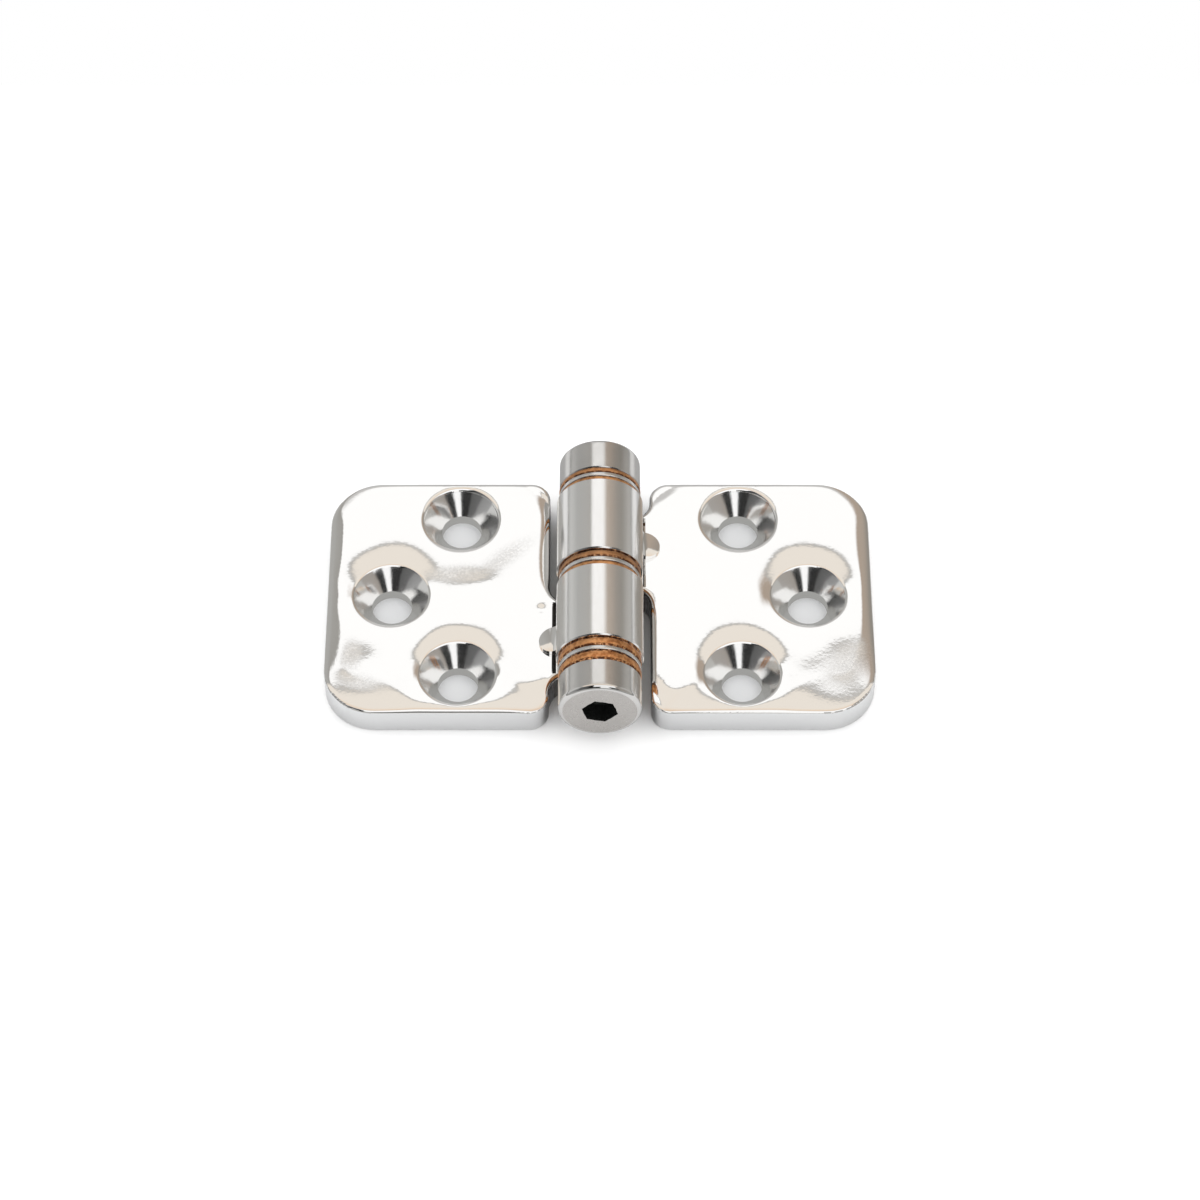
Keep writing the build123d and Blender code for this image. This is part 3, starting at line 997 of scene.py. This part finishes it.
@dataclass
class WasherPack:
    """The nine washers, each made by one Geometry Nodes tree."""

    bore: float = 3.72
    copper_radius: float = 5.6
    steel_radius: float = 5.56
    inset: float = 0.02
    around: int = 180
    section_step: float = 0.11
    burrs: tuple[float, ...] = (0.33, 0.18, 0.072, 0.132, 0.036, 0.048)
    ages: tuple[float, ...] = (0.0, 0.1, 0.4, 0.9, 0.5, 0.6)

    def tree(self) -> bpy.types.NodeTree:
        """Makes the tree: a ring of one rounded section, crowned and burred.

        Returns:
            The tree, with its inputs named.
        """
        tree = bpy.data.node_groups.new("friction_washer", "GeometryNodeTree")
        tree.interface.new_socket("Geometry", in_out="OUTPUT", socket_type="NodeSocketGeometry")
        names = "Start, Thickness, Bore Radius, Outer Radius, Centre Height, Crown, Burr, Edge Break, Dull"
        kinds = dict.fromkeys(names.split(", "), "Float") | {"Seed": "Int", "Finish": "Material"}
        for name, kind in kinds.items():
            tree.interface.new_socket(name, in_out="INPUT", socket_type="NodeSocket" + kind)
        g = Graph(tree)
        entry = g.add("NodeGroupInput").outputs
        size = g.minus(entry["Outer Radius"], entry["Bore Radius"])
        middle = g.times(g.plus(entry["Outer Radius"], entry["Bore Radius"]), 0.5)
        half = g.times(entry["Thickness"], 0.5)
        centre = g.plus(entry["Start"], half)

        def chain(kind: str, before: bpy.types.Node, inputs: dict, **properties: object) -> bpy.types.Node:
            """Adds a node that takes the geometry of the one before it."""
            node = g.add(kind, inputs, **properties)
            g.tree.links.new(before.outputs[0], node.inputs[0])
            return node

        path = g.add("GeometryNodeCurvePrimitiveCircle", {"Resolution": self.around, "Radius": middle})
        section = g.add("GeometryNodeCurvePrimitiveQuadrilateral", {"Width": size, "Height": entry["Thickness"]})
        inputs = {"Radius": entry["Edge Break"], "Count": 3}
        fillet = chain("GeometryNodeFilletCurve", section, inputs, mode="POLY")
        fine = chain("GeometryNodeResampleCurve", fillet, {"Length": self.section_step * MM}, mode="LENGTH")
        ring = chain("GeometryNodeCurveToMesh", path, {"Profile Curve": fine.outputs[0]})

        # Stand the ring up round the pivot, with its start where the pack says
        inputs = {
            "Rotation": (math.radians(90.0), 0.0, 0.0),
            "Translation": g.vector(0.0, centre, entry["Centre Height"]),
        }
        stand = chain("GeometryNodeTransform", ring, inputs)

        # Crown and burrs
        place = g.add("GeometryNodeInputPosition").outputs[0]
        x, y, z = g.split(place)
        lift = g.minus(z, entry["Centre Height"])
        radius = g.reach(x, lift)
        share = g.math("DIVIDE", g.size(g.minus(y, centre)), half)
        outer = g.step(radius, 5.0 * MM, 5.35 * MM)
        edge = g.step(share, 0.3, 0.9)
        inputs = {"Vector": place, "W": g.times(entry["Seed"], 3.7), "Scale": 1900.0, "Detail": 3.0, "Roughness": 0.62}
        tear = g.add("ShaderNodeTexNoise", inputs, noise_dimensions="4D").outputs[0]
        burr = g.times(g.minus(tear, 0.5), 3.2, edge, entry["Burr"])
        crown = g.times(share, share, -1.0, entry["Crown"])
        shift = g.times(g.plus(burr, crown), outer)
        out_x, out_z = (g.math("DIVIDE", g.times(way, shift), radius) for way in (x, lift))
        piece = chain("GeometryNodeSetPosition", stand, {"Offset": g.vector(out_x, 0.0, out_z)})
        for name, value in (("torn", g.times(edge, outer)), ("dull", entry["Dull"])):
            inputs = {"Name": name, "Value": value}
            piece = chain("GeometryNodeStoreNamedAttribute", piece, inputs, data_type="FLOAT", domain="POINT")
        piece = chain("GeometryNodeSetShadeSmooth", piece, {})
        piece = chain("GeometryNodeRealizeInstances", piece, {})
        piece = chain("GeometryNodeSetMaterial", piece, {"Material": entry["Finish"]})
        chain("NodeGroupOutput", piece, {})
        return tree

    def make(self, tree: bpy.types.NodeTree, metal: Metal, number: int, finish: bpy.types.Material) -> None:
        """Makes one washer in its place.

        Args:
            tree: The tree that makes it.
            metal: Its metal.
            number: Its number among those of its metal.
            finish: Its material.
        """
        copper = metal is Metal.COPPER
        name = f"{'copper' if copper else 'steel'}_washer_{number}"
        low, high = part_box(name)
        values = {
            "Start": low.y + self.inset * MM / 2,
            "Thickness": high.y - low.y - self.inset * MM,
            "Bore Radius": self.bore * MM,
            "Outer Radius": (self.copper_radius if copper else self.steel_radius) * MM,
            "Centre Height": PIVOT_HEIGHT * MM,
            "Crown": (0.16 if copper else 0.02) * MM,
            "Burr": self.burrs[number - 1] * MM if copper else 0.0,
            "Edge Break": (0.1 if copper else 0.06) * MM,
            "Dull": self.ages[number - 1] if copper else 0.0,
            "Seed": number + (0 if copper else 20),
            "Finish": finish,
        }
        holder = add_object(name + "_maker", bpy.data.meshes.new(name))
        modifier = holder.modifiers.new("ring", "NODES")
        modifier.node_group = tree
        for socket in tree.interface.items_tree:
            if socket.in_out == "INPUT":
                modifier[socket.identifier] = values[socket.name]
        shown = holder.evaluated_get(bpy.context.evaluated_depsgraph_get())
        mesh = bpy.data.meshes.new_from_object(shown)
        bpy.data.objects.remove(holder)
        lay(add_object(name + "_ring", mesh), "left_leaf_and_pivot", metal.value, name)

    def build(self, finishes: dict[Metal, bpy.types.Material]) -> None:
        """Makes every washer, each metal with its finish."""
        tree = self.tree()
        for metal, last in ((Metal.COPPER, 6), (Metal.STEEL, 3)):
            for number in range(1, last + 1):
                self.make(tree, metal, number, finishes[metal])


# ---------------------------------------------------------------- heads


@dataclass
class TurnedHead:
    """A turned part of the pivot: a head with a hexagon socket, and what reaches inwards.

    Its section is listed from the socket's tip outwards, with depths from the head's face.
    """

    name: str
    node: str
    body: str
    face: float
    inward: float
    radius: float
    length: float
    stem: list[tuple[float, float]]
    hex_flats: float = 4.3
    hex_corner: float = -14.0
    socket_depth: float = 2.6
    tip: tuple[float, float] = (0.7, 0.55)
    lead_in: float = 0.06
    face_round: float = 0.62
    back_break: float = 0.12
    around: int = 360

    def section(self, angles: np.ndarray) -> tuple[list[tuple[np.ndarray, float]], list[int]]:
        """Lists the rings of the part.

        Args:
            angles: The angles of each ring's points.

        Returns:
            Each ring's radii and depth, and the finish between it and the next one:
            0 turned side, 1 socket's painted shade, 2 rounded edge, 3 face.
        """
        same = np.ones_like(angles)
        inscribed, deep = self.hex_flats / 2, self.socket_depth
        local = np.mod(angles - math.radians(self.hex_corner), math.pi / 3) - math.pi / 6
        flats = inscribed / np.cos(local)
        socket = [
            (same * self.tip[1], deep + self.tip[0]),
            (same * inscribed, deep),
            (flats - 0.02, deep),
            (flats, deep - 0.05),
            (flats, self.lead_in),
        ]
        r, c = self.radius, self.face_round
        face = [
            (np.maximum(flats, inscribed + self.lead_in), 0.0),
            (same * (inscribed + 0.5), 0.0),
            (same * (r - c - 0.3), 0.0),
        ]
        turns = np.linspace(0.0, math.pi / 2, 12)
        edge = [(same * (r - c * (1 - math.sin(turn))), c * (1 - math.cos(turn))) for turn in turns]
        side = [(same * r, c + (self.length - self.back_break - c) * share) for share in np.linspace(0.1, 1.0, 6)]
        side += [(same * (r - self.back_break), self.length)]
        side += [(same * radius, depth) for radius, depth in self.stem]
        marks = [1] * len(socket) + [3] * len(face) + [2] * (len(edge) - 1) + [0] * (len(side) + 1)
        return socket + face + edge + side, marks

    def build(self, materials: list[bpy.types.Material]) -> None:
        """Turns the part.

        Args:
            materials: The finishes of its turned side, the painted shade of its socket, its rounded edge and its face.
        """
        n = self.around
        angles = np.linspace(0, 2 * math.pi, n, endpoint=False)
        rings, finishes = self.section(angles)
        points = [
            np.column_stack([
                radii * np.cos(angles),
                np.full(n, self.face + self.inward * depth),
                radii * np.sin(angles) + PIVOT_HEIGHT,
            ])
            for radii, depth in rings
        ]
        points += [[[0.0, self.face + self.inward * depth, PIVOT_HEIGHT]] for depth in (rings[0][1], rings[-1][1])]
        points = np.vstack(points)
        tip, end = len(points) - 2, len(points) - 1
        last = (len(rings) - 1) * n
        here = np.arange(n)
        beyond = (here + 1) % n
        faces = [[tip, a, b] for a, b in zip(here, beyond)]
        for row in range(0, last, n):
            faces += [[row + a, row + a + n, row + b + n, row + b] for a, b in zip(here, beyond)]
        faces += [[last + a, end, last + b] for a, b in zip(here, beyond)]
        marks = np.repeat([1, *finishes[: len(rings) - 1], 0], n)
        if self.inward > 0:
            faces = [f[::-1] for f in faces]
        piece = make_object(self.name, points, faces, materials, 28.0)
        piece.data.polygons.foreach_set("material_index", marks.astype(np.int32))
        turn_outwards(piece.data)
        lay(piece, self.body, "turned_stainless", self.node)


def turn_outwards(mesh: bpy.types.Mesh) -> None:
    """Makes a closed mesh's faces point outwards."""
    work = bmesh.new()
    work.from_mesh(mesh)
    bmesh.ops.recalc_face_normals(work, faces=work.faces)
    work.to_mesh(mesh)
    work.free()


# ---------------------------------------------------------------- studio


@dataclass
class StudioCamera:
    """A long lens well above the hinge, square to it."""

    elevation_deg: float = 54.18
    distance: float = 513.7 * MM
    target: tuple[float, float, float] = (0.0, LEAF_MIDDLE * MM, 4.4 * MM)
    image_side_px: float = 1200.0
    focal_px: float = 3760.4
    target_px: tuple[float, float] = (599.9, 595.53)
    sensor: float = 36.0

    def place(self) -> None:
        """Adds the camera to the scene."""
        data = bpy.data.cameras.new("studio_camera")
        data.sensor_width = self.sensor
        data.lens = self.sensor * self.focal_px / self.image_side_px
        centre = self.image_side_px / 2
        data.shift_x = (centre - self.target_px[0]) / self.image_side_px
        data.shift_y = (self.target_px[1] - centre) / self.image_side_px
        data.clip_start, data.clip_end = 0.01, 20.0
        camera = add_object("studio_camera", data)
        elevation = math.radians(self.elevation_deg)
        back = Vector((0.0, -math.cos(elevation), math.sin(elevation)))
        camera.location = Vector(self.target) + back * self.distance
        camera.rotation_mode = "QUATERNION"
        camera.rotation_quaternion = (-back).to_track_quat("-Z", "Y")
        bpy.context.scene.camera = camera
        LOG.info("camera placed")


@dataclass
class Studio:
    """White floor, soft key light, and the cards that the metal mirrors.

    The cards are listed by angle: those ahead from the far horizon up, the others from the
    left to the right, each with a grey or a colour.
    """

    white: float = 1.08
    fill: float = 1.4
    low_grey: Colour = (0.42, 0.42, 0.41, 1.0)
    floor_grey: Colour = (0.3, 0.3, 0.29, 1.0)
    floor_side: float = 0.1
    tan: tuple = (0.87, 0.81, 0.735)
    warm: tuple = (0.78, 0.58, 0.42)
    gap: tuple = (0.4, 0.39, 0.375)
    overhead: tuple = (0.84, 0.82, 0.8)

    def ahead(self, g: Graph, over: Value, side: Value) -> bpy.types.NodeSocket:
        """What the metal mirrors beyond the hinge and above it.

        Args:
            g: The world's graph.
            over: Degrees up from the far horizon.
            side: Degrees to the right.

        Returns:
            The colour.
        """
        middle = (
            (0.0, 0.42), (30.0, (0.56, 0.55, 0.545)), (44.0, (0.6, 0.59, 0.58)),
            (47.3, self.white), (57.1, self.white), (57.8, self.gap), (58.3, self.gap),
            (59.3, self.tan), (66.0, self.tan), (76.0, (0.86, 0.73, 0.6)),
            (80.0, self.warm), (82.5, self.warm), (84.5, self.overhead), (91.0, self.overhead),
        )
        sides = (
            (-56.0, (0.62, 0.62, 0.61)), (-46.0, (0.42, 0.42, 0.41)), (-28.0, (0.42, 0.415, 0.4)),
            (-17.0, (0.34, 0.33, 0.31)), (8.0, (0.42, 0.335, 0.27)), (20.0, (0.43, 0.36, 0.3)),
            (36.0, (0.3, 0.275, 0.245)), (46.0, (0.28, 0.265, 0.24)), (56.0, (0.5, 0.49, 0.47)),
        )
        central = g.times(g.step(side, -18.2, -16.4), g.step(side, 15.0, 7.2))
        high = g.times(g.step(over, 57.4, 58.0), g.times(g.step(side, -46.0, -38.0), g.step(side, 46.0, 38.0)))
        return g.blend(g.math("MAXIMUM", central, high), g.ramp(side, -90.0, sides), g.ramp(over, 0.0, middle))

    def behind(self, g: Graph, over: Value, side: Value) -> bpy.types.NodeSocket:
        """What the metal mirrors on the camera's side.

        Args:
            g: The world's graph.
            over: Degrees up from the far horizon.
            side: Degrees to the right.

        Returns:
            The colour.
        """
        stops = (
            (-75.0, 0.34), (-53.0, 0.26), (-49.0, 0.13), (-27.0, 0.1), (-23.0, 0.012), (0.5, 0.012),
            (1.6, self.white), (18.4, self.white), (19.6, 0.015), (36.0, 0.02),
            (42.0, (0.36, 0.33, 0.3)), (80.0, (0.4, 0.38, 0.36)),
        )
        cards = g.blend(g.step(over, 160.0, 165.0), g.ramp(side, -90.0, stops), self.low_grey)
        streak = g.times(g.step(side, -15.5, -13.5), g.step(side, 40.0, 37.0), g.step(over, 134.5, 132.0))
        return g.blend(streak, cards, (self.white,) * 3 + (1.0,))

    def world(self) -> None:
        """Makes the surroundings: white to the camera, cards to the metal."""
        world = bpy.data.worlds.new("studio")
        bpy.context.scene.world = world
        world.use_nodes = True
        world.node_tree.nodes.clear()
        g = Graph(world.node_tree)
        x, y, z = g.split(g.place("Generated"))
        over = g.math("DEGREES", g.math("ARCTAN2", z, y))
        side = g.math("DEGREES", g.math("ARCSINE", x))
        cards = g.blend(g.step(over, 91.0, 93.5), self.ahead(g, over, side), self.behind(g, over, side))
        cards = g.blend(g.step(z, -0.005, 0.0), self.floor_grey, cards)
        light = g.blend(g.mirrored(), (self.fill,) * 3 + (1.0,), cards)
        to_camera = g.add("ShaderNodeLightPath").outputs["Is Camera Ray"]
        shown = g.blend(to_camera, light, (1.0, 1.0, 1.0, 1.0))
        back = g.add("ShaderNodeBackground", {"Color": shown, "Strength": 1.0})
        g.add("ShaderNodeOutputWorld", {"Surface": back.outputs[0]})
        LOG.info("surroundings made")

    def floor(self) -> None:
        """Makes the floor: white where it is lit, with painted shade under the hinge, clear from below."""
        s = self.floor_side
        mesh = bpy.data.meshes.new("floor")
        mesh.from_pydata([(-s, -s, 0), (s, -s, 0), (s, s, 0), (-s, s, 0)], [], [(0, 1, 2, 3)])
        floor = add_object("floor", mesh)
        floor.location.z = -0.02 * MM
        material = bpy.data.materials.new("floor_white")
        material.use_nodes = True
        material.node_tree.nodes.clear()
        g = Graph(material.node_tree)
        mirrored = g.mirrored()
        x, y, _ = g.split(g.place())
        aside, along = g.size(x), g.size(y)
        grey = [(value, value, value, 1.0) for value in (0.98, 0.6, 0.36, 0.16)]

        # What the camera and the soft light see: painted shade under the leaves and a painted shadow under the barrel
        below = g.times(g.step(aside, 38.0 * MM, 31.0 * MM), g.step(along, 20.0 * MM, 15.0 * MM))
        under = g.times(g.step(aside, 8.2 * MM, 6.0 * MM), g.step(along, 17.0 * MM, 13.5 * MM))
        plain = g.blend(under, g.blend(below, grey[0], (0.74, 0.75, 0.76, 1.0)), (0.55, 0.55, 0.54, 1.0))

        # What the metal mirrors: painted shade beyond the barrel and beside it, and a painted glow in the pans
        beyond = g.times(g.step(aside, 30.0 * MM, 22.0 * MM), g.step(y, 21.0 * MM, 24.0 * MM))
        beside = g.times(g.step(aside, 8.5 * MM, 6.2 * MM), g.step(y, -19.0 * MM, -17.0 * MM))
        low = g.blend(beside, g.blend(beyond, grey[1], grey[2]), grey[3])
        matt = g.add("ShaderNodeBsdfDiffuse", {"Color": g.blend(mirrored, plain, low)})
        # Painted light: the floor glows in the pans for mirrored rays, where no lamp shines
        glow = g.add("ShaderNodeEmission", {"Color": (0.38, 0.38, 0.37, 1.0)})
        in_pan = g.times(below, g.step(aside, 8.5 * MM, 11.0 * MM), mirrored)
        from_below = g.add("ShaderNodeNewGeometry").outputs["Backfacing"]
        seen = g.either(from_below, g.either(in_pan, matt, glow), g.add("ShaderNodeBsdfTransparent"))
        g.add("ShaderNodeOutputMaterial", {"Surface": seen.outputs[0]})
        mesh.materials.append(material)
        LOG.info("floor made")

    def lamp(self, name: str, place: tuple[float, float, float], side: float, power: float) -> None:
        """Adds one soft lamp that looks at the hinge.

        Args:
            name: The lamp's name.
            place: Where it stands, in metres.
            side: Its size, in metres.
            power: Its power, in watts.
        """
        data = bpy.data.lights.new(name, "AREA")
        data.shape, data.size, data.energy = "SQUARE", side, power
        lamp = add_object(name, data)
        toward = (-Vector(place)).to_track_quat("-Z", "Y").to_matrix().to_4x4()
        lamp.matrix_world = Matrix.Translation(place) @ toward
        lamp.visible_glossy = False

    def build(self) -> None:
        """Builds the studio."""
        self.world()
        self.floor()
        self.lamp("key_softbox", (0.55, 0.35, 0.9), 0.45, 0.25)
        bpy.context.scene.view_settings.view_transform = "Standard"


# ---------------------------------------------------------------- hinge


@dataclass
class FrictionHinge:
    """The whole hinge, dressed piece by piece."""

    half_barrel: float = 20.775
    sleeve_end: float = 36.2
    sleeve_chamfer: float = 0.35
    tapped_depth: float = 18.0

    def leaves(self) -> list[LeafPressing]:
        """The two leaves, each with the unevenness that it shows."""
        low, high = LEAF_MIDDLE - LEAF_HALF_LENGTH, LEAF_MIDDLE + LEAF_HALF_LENGTH
        right = LeafPressing(
            Hand.RIGHT,
            "right_leaf",
            brims=[
                (37.2, 0.7, 1.6, 0.36), (37.2, 9.0, 1.9, 0.36), (37.2, 13.0, 1.9, 0.33), (35.2, 18.0, 1.7, 0.2),
                (30.0, high, 1.0, 0.02), (19.2, high, 1.0, 0.01), (12.0, high, 1.0, 0.02),
                (7.7, high - 0.8, 1.1, 0.1), (6.9, 14.0, 1.0, 0.0), (6.9, 1.5, 1.0, 0.0),
                (6.9, -2.5, 1.2, 0.26), (6.9, -9.0, 1.2, 0.28), (7.0, -15.5, 1.3, 0.22),
                (7.7, low + 0.8, 2.2, 0.18), (9.2, low, 3.8, 0.22), (11.0, low, 4.9, 0.25),
                (13.6, low, 4.9, 0.25), (16.0, low, 3.2, 0.22), (19.2, low, 2.0, 0.18), (22.0, low, 2.1, 0.18),
                (24.2, low, 2.7, 0.2), (26.6, low, 4.4, 0.24), (28.7, low, 5.6, 0.26), (32.0, low, 6.2, 0.27),
                (35.2, low + 2.0, 6.0, 0.28), (37.2, -11.0, 3.4, 0.33), (37.2, -6.0, 1.9, 0.36),
            ],
            sags=[Sag(32.4, -11.2, 0.17, 4.0, 7.0, 46.0), Sag(9.9, 8.0, 0.03, 0.6, 0.6)],
        )
        left = LeafPressing(
            Hand.LEFT,
            "left_leaf_and_pivot",
            brims=[
                (37.2, -11.0, 2.1, 0.4), (37.2, -4.0, 2.1, 0.41), (37.2, 2.0, 2.3, 0.42), (37.2, 8.0, 2.6, 0.45),
                (37.0, 12.5, 2.9, 0.42), (35.2, 18.0, 5.2, 0.31), (31.7, high, 5.7, 0.27), (29.1, high, 5.0, 0.26),
                (27.0, high, 3.5, 0.22), (24.9, high, 2.0, 0.17), (22.0, high, 1.5, 0.15), (19.2, high, 1.4, 0.14),
                (16.5, high, 1.6, 0.15), (14.4, high, 2.0, 0.17), (12.3, high, 2.5, 0.18), (10.2, high, 3.2, 0.2),
                (8.6, high, 3.7, 0.21), (7.3, high - 1.2, 3.8, 0.2), (6.9, 16.8, 2.4, 0.14), (6.9, 14.5, 1.0, 0.0),
                (6.9, 1.5, 1.0, 0.0), (6.9, -2.5, 1.6, 0.34), (6.9, -10.0, 1.6, 0.34), (6.9, -14.0, 1.4, 0.28),
                (7.7, low + 0.8, 1.1, 0.08), (12.0, low, 1.0, 0.02), (19.2, low, 1.0, 0.01),
                (29.0, low, 1.0, 0.02), (35.2, low + 2.0, 1.9, 0.18),
            ],
            sags=[
                Sag(18.0, -0.4, 0.15, 2.7, 6.5, 14.0),
                Sag(32.6, 12.2, 0.12, 3.2, 3.4),
                Sag(7.9, 3.1, 0.09, 0.62, 0.62),
            ],
            open_seam=True,
        )
        return [right, left]

    def heads(self) -> list[TurnedHead]:
        """The screw and the nut, each with its stem as radii and depths."""
        end, chamfer = self.sleeve_end, self.sleeve_chamfer
        bore = [(2.5, end), (2.5, end - self.tapped_depth)]
        screw_stem = [(2.45, 4.7), (2.45, 20.35), (2.1, 20.7)]
        sleeve = [(3.65, 4.8), (3.65, end - chamfer), (3.65 - chamfer, end), *bore]
        return [
            TurnedHead(
                "tension_screw_turned", "tension_screw", "tension_screw", -self.half_barrel, 1.0, 5.6, 4.7, screw_stem
            ),
            TurnedHead(
                "sleeve_nut_turned", "sleeve_nut", "left_leaf_and_pivot", self.half_barrel, -1.0, 5.55, 4.8, sleeve,
                hex_corner=14.0,
            ),
        ]

    def build(self, nodes: dict[str, bpy.types.Object]) -> None:
        """Makes and dresses every piece.

        Args:
            nodes: The CAD nodes by name.
        """
        polished = PolishedStainless().material()
        # The seam's material is painted shade
        seat, seam = CutSeat().material(), SeamShadow().material()
        turned = TurnedStainless().material()
        edge = TurnedStainless("rounded_edge", (0.84, 0.83, 0.815, 1.0), (0.05, 0.1), 0.4).material()
        face = TurnedStainless("faced_steel", (0.66, 0.635, 0.61, 1.0), (0.24, 0.32), 0.22).material()
        thrust = TurnedStainless("thrust_washer_steel", (0.8, 0.79, 0.775, 1.0), (0.16, 0.28)).material()
        # The sockets' material is painted shade
        socket_shade, copper = SocketPaintedShade().material(), CopperAlloy().material()
        for leaf in self.leaves():
            leaf.build(nodes[leaf.hand.value], [polished, seat, seam])
        WasherPack().build({Metal.COPPER: copper, Metal.STEEL: thrust})
        for head in self.heads():
            head.build([turned, socket_shade, edge, face])
        for name, node in nodes.items():
            node.data.materials.clear()
            node.data.materials.append(polished if "leaf" in name else copper if "copper" in name else turned)


def corners(box: tuple[Vector, Vector]) -> list[list[float]]:
    """Turns a box's two corners into plain lists."""
    return [list(corner) for corner in box]


def main() -> None:
    """Builds the studio and dresses the hinge."""
    logging.basicConfig(level=logging.INFO, format="%(name)s: %(message)s")
    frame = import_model()
    StudioCamera().place()
    Studio().build()
    FrictionHinge().build(frame["nodes"])
    LOG.info("sizes written")


if __name__ == "__main__":
    main()
